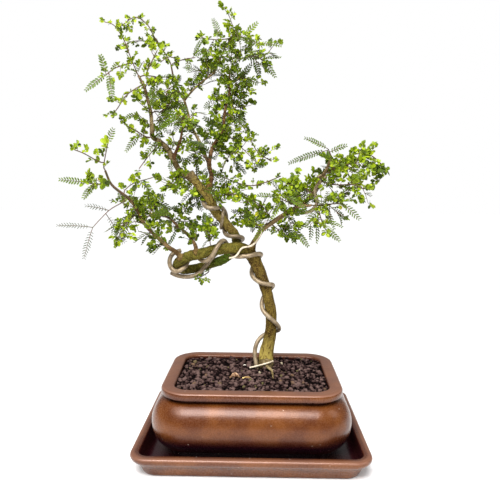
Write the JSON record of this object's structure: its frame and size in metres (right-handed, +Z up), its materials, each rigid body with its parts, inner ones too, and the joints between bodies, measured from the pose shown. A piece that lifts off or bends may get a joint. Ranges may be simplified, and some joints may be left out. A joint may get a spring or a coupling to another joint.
{
  "type": "potted bonsai tree",
  "caption": "Wired acacia bonsai with a bent, looping trunk and feathery leaf sprays, planted in a glazed rectangular pot that rests on a matching drip tray.",
  "frame": {"origin": "middle of the drip tray's flat underside", "axes": "+Z up along the plant's height, +X to the right along the pot's long side, +Y to the back"},
  "size_m": [0.3366, 0.1934, 0.4841],
  "materials": {
    "glaze": "gloss",
    "soil": "matte",
    "bark": "matte",
    "wire": "satin",
    "foliage": "satin",
    "husk": "matte",
    "chip": "matte",
    "grit": "matte"
  },
  "bodies": {
    "root": {"base_wire": "wire", "branch_wire": "wire", "chip": "chip", "cross_wire": "wire", "grit": "grit", "hook_wire": "wire", "husk": "husk", "loop_wire": "wire", "pale_wire": "wire", "pot": "glaze", "soil": "soil", "spray_arch": "foliage", "spray_arch_low": "foliage", "spray_arch_right": "foliage", "spray_crown_left": "foliage", "spray_crown_right": "foliage", "spray_crown_top": "foliage", "spray_dark_tip": "foliage", "spray_far_left": "foliage", "spray_front_tuft": "foliage", "spray_hanging": "foliage", "spray_inner_back": "foliage", "spray_inner_front": "foliage", "spray_leader_front": "foliage", "spray_leader_left": "foliage", "spray_leader_right": "foliage", "spray_left_back": "foliage", "spray_left_behind": "foliage", "spray_left_cluster": "foliage", "spray_left_edge": "foliage", "spray_left_elbow": "foliage", "spray_left_high": "foliage", "spray_left_inner": "foliage", "spray_left_plumes": "foliage", "spray_left_shoulder": "foliage", "spray_left_under": "foliage", "spray_mid_left_back": "foliage", "spray_mid_left_tip": "foliage", "spray_middle_back": "foliage", "spray_middle_left": "foliage", "spray_middle_right": "foliage", "spray_right_back": "foliage", "spray_right_base": "foliage", "spray_right_drop": "foliage", "spray_right_front": "foliage", "spray_right_low_end": "foliage", "spray_right_mass": "foliage", "spray_right_tip": "foliage", "spray_right_under": "foliage", "spray_shoot_high": "foliage", "spray_shoot_low": "foliage", "spray_stub_left": "foliage", "spray_top_left": "foliage", "spray_trunk_back": "foliage", "spray_trunk_front": "foliage", "tray": "glaze", "trunk": "bark", "trunk_wire": "wire", "upper_wire": "wire"}
  },
  "joints": []
}
